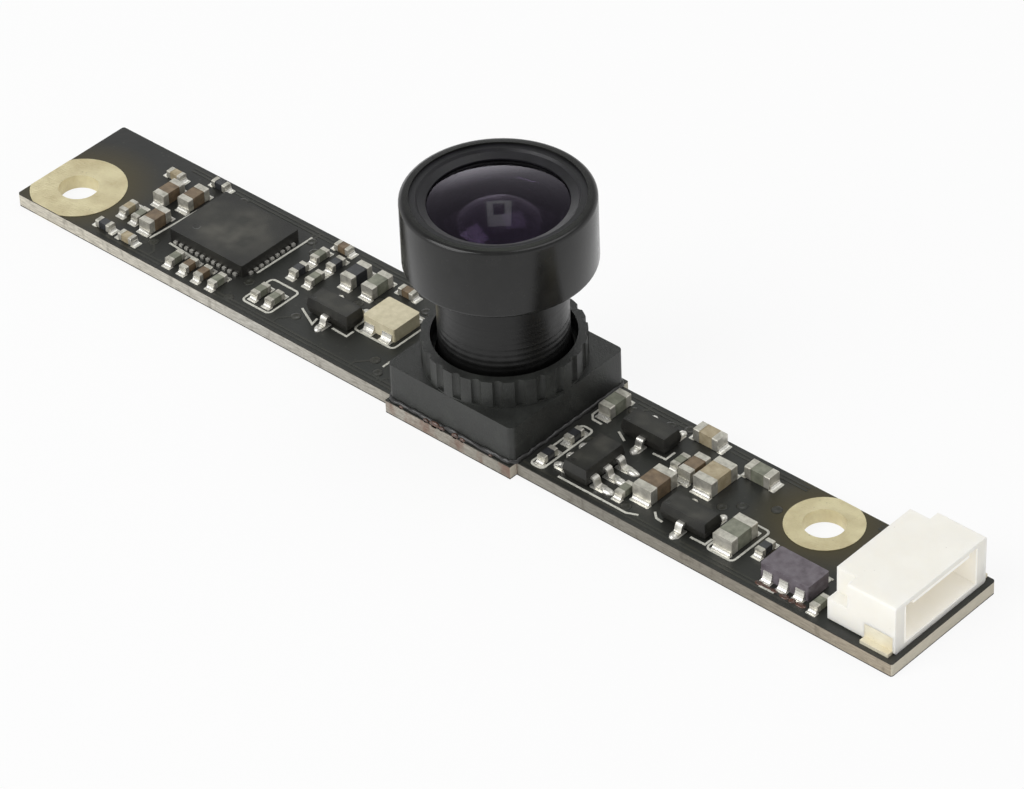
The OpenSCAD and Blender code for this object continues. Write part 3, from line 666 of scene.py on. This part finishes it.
def vias(places):
    """Low masked collars round tiny plugged holes."""
    bm = bmesh.new()
    profile = ((0.3, 0.0), (0.26, 0.02), (0.16, 0.025), (0.12, 0.004))    # radius and height, in mm
    steps = 14
    for x, y in places:
        rows = []
        for r, h in profile:
            rows.append([bm.verts.new((x + r * MM * math.cos(math.tau * i / steps),
                                       y + r * MM * math.sin(math.tau * i / steps),
                                       BOARD_TOP + h * MM)) for i in range(steps)])
        for low, high in zip(rows, rows[1:]):
            for i in range(steps):
                j = (i + 1) % steps
                bm.faces.new((low[i], low[j], high[j], high[i]))
        bm.faces.new(rows[-1])
        bm.faces.new(list(reversed(rows[0])))
    piece("vias", bm, films["track"], smooth=True)


def bend(start, end, first_axis):
    """A track's line from start to end with one 45-degree slope."""
    dx, dy = end[0] - start[0], end[1] - start[1]
    slope = min(abs(dx), abs(dy))
    sx, sy = math.copysign(slope, dx), math.copysign(slope, dy)
    if first_axis == "x":
        knee = (end[0] - sx, start[1]) if abs(dx) >= abs(dy) else (start[0], end[1] - sy)
    else:
        knee = (start[0] + sx, end[1]) if abs(dx) >= abs(dy) else (end[0], start[1] + sy)
    return [start, knee, end]


def clear_stretches(y, start, end, room):
    """The parts of a line along X that keep off every part, as pairs of X."""
    step = 0.1 * MM
    shortest = 1.2 * MM
    stretches = []
    begun = None
    count = int((end - start) / step)
    for i in range(count + 1):
        x = start + i * step
        free = is_clear(x, y, room) and i < count
        if free and begun is None:
            begun = x
        elif not free and begun is not None:
            if x - begun > shortest:
                stretches.append((begun, x - step))
            begun = None
    return stretches


def runs_clear(line, room):
    """True where a line keeps off every part."""
    steps = 12
    for a, b in zip(line, line[1:]):
        for i in range(steps + 1):
            x = a[0] + (b[0] - a[0]) * i / steps
            y = a[1] + (b[1] - a[1]) * i / steps
            if not is_clear(x, y, room):
                return False
    return True


def tracks(places):
    """Copper tracks under the mask: two pairs along the board, and short links to the vias."""
    bm = bmesh.new()
    width = 0.13 * MM
    link_top = TRACK_TOP - 0.002 * MM
    outer, inner = 0.3 * MM, 0.54 * MM      # how far the two lanes of a pair lie from the board's edge
    lanes = (BOARD_FRONT + outer, BOARD_FRONT + inner, BOARD_BACK - outer, BOARD_BACK - inner)
    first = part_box("left_screw_ring")[1].x + MM
    for y in lanes:
        for start, end in clear_stretches(y, first, housing_low.x - MM, 0.16 * MM):
            ribbon(bm, [(start, y), (end, y)], width, BOARD_TOP, TRACK_TOP)
    for k, (x, y) in enumerate(places):
        lane = lanes[k % 2] if y < 0 else lanes[2 + k % 2]
        lean = 0.6 if k % 3 else -0.6
        foot = (x + abs(lane - y) * lean, lane)
        line = bend((x, y), foot, "y")
        if runs_clear(line, 0.1 * MM):
            ribbon(bm, line, width, BOARD_TOP, link_top)
    piece("copper_tracks", bm, films["track"])


pads()
leg_solder()
places = via_places()
vias(places)
tracks(places)


# ---------- printed legend ----------

def nearest(node, x_mm, y_mm):
    """The solid of a node that lies nearest to a place on the board."""
    spot = Vector((x_mm * MM, y_mm * MM, BOARD_TOP))
    return min(solids_of(node), key=lambda b: (centre_of(b) - spot).length)


def legend():
    """The white printed lines: outlines, corner marks and bars beside the parts."""
    ink = bmesh.new()

    def line(x, y, *steps):
        """A line through points given in millimetres from a base point."""
        ribbon(ink, [(x + a * MM, y + b * MM) for a, b in steps], INK_WIDTH, BOARD_TOP, INK_TOP)

    def loop(boxes, left, near, right, far):
        """A rounded outline round some boxes, with its four margins in millimetres."""
        low = (min(b[0].x for b in boxes) - left * MM, min(b[0].y for b in boxes) - near * MM)
        high = (max(b[1].x for b in boxes) + right * MM, max(b[1].y for b in boxes) + far * MM)
        ribbon(ink, rounded(low, high, 0.25 * MM), INK_WIDTH, BOARD_TOP, INK_TOP, closed=True)

    low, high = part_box("processor_chip")
    line(high.x, low.y, (0.28, 0.8), (0.36, 4.9))
    line(low.x, low.y, (-0.93, -0.6), (-0.79, 1.4), (-0.58, 4.7))
    line(low.x, low.y, (0.2, -0.25), (2.6, -0.42))
    low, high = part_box("left_regulator")
    line(low.x, low.y, (-0.45, 0.1), (0.9, -0.55), (0.78, -0.05))
    line(high.x, low.y, (-0.95, -0.14), (0.1, -0.18), (0.1, 0.35))
    low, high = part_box("middle_regulator")
    line(low.x, low.y, (-0.2, 0.08), (0.5, -0.3))
    line(high.x, low.y, (-0.65, -0.14), (0.16, -0.1), (0.16, 0.6))
    line(low.x, high.y, (-0.27, 0.48), (0.2, 0.4))
    low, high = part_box("right_regulator")
    line(low.x, low.y, (-0.48, 0.2), (-0.12, -0.12), (0.3, -0.16))
    line(high.x, low.y, (-0.8, -0.16), (0.12, -0.14), (0.12, 0.4))
    low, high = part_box("memory_chip")
    line(low.x, low.y, (-0.15, -0.16), (4.3, -0.16), (4.9, 0.1))
    low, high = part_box("cable_choke")
    line(low.x, low.y, (0.4, -0.58), (1.3, -0.54))
    line(low.x, high.y, (-0.25, -1.2), (-0.25, 0.42), (2.9, 0.42))
    line(holder_low.x, 0, (-1.94, -2.6), (-1.93, -0.2))
    line(holder_high.x, 0, (0.42, 2.2), (0.42, 1.3), (0.7, 1.0), (1.3, 0.98))
    loop([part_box("clock_resonator")], 0.3, 0.45, 0.3, 0.45)
    capacitors = [nearest("grey_capacitors", x, -2.15) for x in (-13.5, -12.5)]
    loop(capacitors, 0.25, 0.7, 0.25, 1.1)
    resistors = [nearest("chip_resistors", 7.1, y) for y in (-0.75, -2.75)]
    loop(resistors, 0.2, 0.6, 0.14, 0.8)
    loop([nearest("grey_capacitors", 18.5, -1.75)], 0.22, 0.78, 0.3, 1.1)
    piece("printed_legend", ink, films["ink"])


legend()


# ---------- glue and flux ----------

def glue_bead():
    """An uneven bead of black glue round the holder's foot."""
    draw = random.Random(3)
    bm = bmesh.new()
    line = rounded((holder_low.x, holder_low.y), (holder_high.x, holder_high.y), 0.35 * MM, 5)
    dense = []
    for a, b in zip(line, line[1:] + line[:1]):
        a, b = Vector(a), Vector(b)
        count = max(1, round((b - a).length / (0.25 * MM)))
        dense += [a.lerp(b, i / count) for i in range(count)]
    centre = Vector((LENS_X, 0))
    sides = 8
    rows = []
    furthest = BOARD_BACK + 0.45 * MM       # the bead stays on the board's tab
    for p in dense:
        wide = (0.13 + 0.08 * draw.random()) * MM
        high = (0.12 + 0.12 * draw.random()) * MM
        out = p - centre
        if abs(out.x) > abs(out.y):
            out = Vector((math.copysign(1, out.x), 0))
        else:
            out = Vector((0, math.copysign(1, out.y)))
        row = []
        for k in range(sides):
            a = math.pi / 2 * k / (sides - 1)
            q = p + out * wide * math.cos(a)
            q.y = max(-furthest, min(furthest, q.y))
            row.append(bm.verts.new((q.x, q.y, BOARD_TOP + high * math.sin(a))))
        row.append(bm.verts.new((*(p - out * 0.05 * MM), BOARD_TOP)))
        rows.append(row)
    for i, row in enumerate(rows):
        after = rows[(i + 1) % len(rows)]
        for k in range(sides + 1):
            m = (k + 1) % (sides + 1)
            bm.faces.new((row[k], after[k], after[m], row[m]))
    piece("holder_glue", bm, films["glue"], smooth=True)


def flux_stains():
    """Small glassy drops of brown flux on the tab's front edge and in front of the choke."""
    draw = random.Random(11)
    bm = bmesh.new()

    def drop(x, y, z, *radii):
        bmesh.ops.create_uvsphere(bm, u_segments=14, v_segments=8, radius=1, matrix=(
            Matrix.Translation((x, y, z)) @ Matrix.Diagonal((*radii, 1))))

    tab_drops = ((-3.2, 0.12), (-1.5, 0.14), (-0.9, 0.24), (-0.4, 0.16), (0.5, 0.2), (1.0, 0.15), (2.9, 0.12))
    for x_mm, size in tab_drops:
        drop(LENS_X + x_mm * MM, board_low.y + 0.1 * MM, BOARD_TOP - 0.03 * MM,
             size * MM * draw.uniform(1.0, 1.7), 0.14 * MM, size * MM)
    choke_low, choke_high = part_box("cable_choke")
    for share in (0.1, 0.24, 0.4, 0.62, 0.78, 0.95):
        x = choke_low.x + (choke_high.x - choke_low.x) * share
        drop(x, choke_low.y - 0.42 * MM, BOARD_TOP,
             draw.uniform(0.2, 0.34) * MM, draw.uniform(0.12, 0.2) * MM, 0.06 * MM)
    for vert in bm.verts:
        vert.co.y = max(vert.co.y, board_low.y)
    piece("flux_stains", bm, films["flux"], smooth=True)


glue_bead()
flux_stains()


# ---------- stage, lamps and camera ----------

def towards(azimuth, elevation):
    """A direction from the object, in degrees; azimuth 0 is +X and turns towards +Y."""
    a, e = math.radians(azimuth), math.radians(elevation)
    return Vector((math.cos(a) * math.cos(e), math.sin(a) * math.cos(e), math.sin(e)))


def stage_floor():
    """A pale floor that shows white to the eye and keeps a soft shadow."""
    bpy.ops.mesh.primitive_plane_add(size=4, location=(0, 0, -0.02 * MM))
    floor = bpy.context.object
    floor.name = "pale_floor"
    f = Finish("pale_floor", Roughness=0.9)
    f.set(Base_Color=f.mix(f.noise(60, 3), (0.78, 0.78, 0.775), (0.82, 0.82, 0.815)))
    glow = f.node("Emission", None, {"Color": (1, 1, 1), "Strength": 1.0})
    path = f.node("LightPath").socket.node
    camera, glossy, through = (Signal(f, path.outputs[name]) for name in
                               ("Is Camera Ray", "Is Glossy Ray", "Is Transmission Ray"))
    share = (camera + glossy + through).ramp(0, 1, 0, 0.88)
    both = f.node("MixShader", None, {0: share, 1: Signal(f, f.shader.outputs[0]), 2: glow})
    f.tree.links.new(both.socket, f.tree.nodes["Material Output"].inputs["Surface"])
    floor.data.materials.append(f.material)


def surroundings():
    """White to the camera; for all else pale near the horizon, most so behind, and dim overhead."""
    world = bpy.data.worlds.new("studio")
    bpy.context.scene.world = world
    world.use_nodes = True
    tree = world.node_tree
    out = tree.nodes["World Output"]
    coordinates = tree.nodes.new("ShaderNodeTexCoord")
    split = tree.nodes.new("ShaderNodeSeparateXYZ")
    tree.links.new(coordinates.outputs["Generated"], split.inputs[0])
    sky = tree.nodes.new("ShaderNodeValToRGB")
    stops = ((0.0, 1.0), (0.28, 0.94), (0.48, 0.55), (0.62, 0.41), (1.0, 0.37))
    while len(sky.color_ramp.elements) < len(stops):
        sky.color_ramp.elements.new(1.0)
    for element, (height, level) in zip(sky.color_ramp.elements, stops):
        element.position = height
        element.color = (level, level, level * 1.01, 1)
    tree.links.new(split.outputs["Z"], sky.inputs[0])
    spot = tree.nodes.new("ShaderNodeVectorMath")
    spot.operation = "DOT_PRODUCT"
    tree.links.new(coordinates.outputs["Generated"], spot.inputs[0])
    spot.inputs[1].default_value = towards(146, 3)
    glow = tree.nodes.new("ShaderNodeMapRange")
    glow.interpolation_type = "SMOOTHSTEP"
    for label, value in (("From Min", 0.9), ("From Max", 0.995), ("To Min", 1.0), ("To Max", 2.3)):
        glow.inputs[label].default_value = value
    tree.links.new(spot.outputs["Value"], glow.inputs["Value"])
    room = tree.nodes["Background"]
    tree.links.new(glow.outputs["Result"], room.inputs["Strength"])
    tree.links.new(sky.outputs[0], room.inputs["Color"])
    white = tree.nodes.new("ShaderNodeBackground")
    white.inputs["Color"].default_value = (1, 1, 1, 1)
    path = tree.nodes.new("ShaderNodeLightPath")
    choose = tree.nodes.new("ShaderNodeMixShader")
    tree.links.new(path.outputs["Is Camera Ray"], choose.inputs[0])
    tree.links.new(room.outputs[0], choose.inputs[1])
    tree.links.new(white.outputs[0], choose.inputs[2])
    tree.links.new(choose.outputs[0], out.inputs["Surface"])


def lamp(name, azimuth, elevation, distance, width, height, power):
    """A soft box that faces the object."""
    away = towards(azimuth, elevation)
    data = bpy.data.lights.new(name, "AREA")
    data.shape = "RECTANGLE"
    data.size = width
    data.size_y = height
    data.energy = power
    made = bpy.data.objects.new(name, data)
    bpy.context.scene.collection.objects.link(made)
    made.location = Vector((0, 0, 3 * MM)) + away * distance
    made.rotation_euler = away.to_track_quat("Z", "Y").to_euler()


def window_frame(azimuth, elevation, distance, width, height, bar, level):
    """A dim frame of light with a deep upper edge, which shows whole in the front glass."""
    bm = bmesh.new()
    x, y = width / 2, height / 2
    upper = height * 0.45
    outer = [bm.verts.new((*p, 0)) for p in ((-x, -y), (x, -y), (x, y), (-x, y))]
    inner = [bm.verts.new((*p, 0)) for p in ((bar - x, bar - y), (x - bar, bar - y),
                                             (x - bar, y - upper), (bar - x, y - upper))]
    for i in range(4):
        j = (i + 1) % 4
        bm.faces.new((outer[i], outer[j], inner[j], inner[i]))
    mesh = bpy.data.meshes.new("window_frame")
    bm.to_mesh(mesh)
    bm.free()
    f = Finish("window_light")
    tone = f.mix(f.noise(60, 2), (0.86, 1.0, 0.78), (0.9, 1.0, 0.84))
    glow = f.node("Emission", None, {"Color": tone, "Strength": level})
    f.tree.links.new(glow.socket, f.tree.nodes["Material Output"].inputs["Surface"])
    mesh.materials.append(f.material)
    made = bpy.data.objects.new("window_frame", mesh)
    bpy.context.scene.collection.objects.link(made)
    away = towards(azimuth, elevation)
    made.location = Vector((LENS_X, 0, lens_high.z)) + away * distance
    made.rotation_euler = away.to_track_quat("Z", "Y").to_euler()


def camera():
    """A long lens above the board's front right."""
    yaw, pitch, roll = math.radians(43.546), math.radians(38.19), math.radians(-2.515)
    back = Vector((math.sin(yaw) * math.cos(pitch), -math.cos(yaw) * math.cos(pitch), math.sin(pitch)))
    right = Vector((0, 0, 1)).cross(back).normalized()
    up = back.cross(right)
    right, up = (math.cos(roll) * right + math.sin(roll) * up, math.cos(roll) * up - math.sin(roll) * right)
    target = Vector((0.0023365, -0.0000833, BOARD_TOP))
    distance = 0.246336
    data = bpy.data.cameras.new("camera")
    data.lens = 170.65
    data.clip_start = 0.01
    made = bpy.data.objects.new("camera", data)
    bpy.context.scene.collection.objects.link(made)
    made.matrix_world = Matrix((right, up, back)).transposed().to_4x4()
    made.location = target + back * distance
    bpy.context.scene.camera = made


stage_floor()
surroundings()
lamp("key_lamp", azimuth=-112, elevation=42, distance=0.5, width=0.35, height=0.35, power=1.45)
lamp("top_lamp", azimuth=60, elevation=66, distance=0.5, width=0.3, height=0.3, power=0.5)
window_frame(azimuth=133.5, elevation=47, distance=0.5, width=0.057, height=0.13, bar=0.015, level=1.7)
camera()
bpy.context.scene.view_settings.view_transform = "Standard"
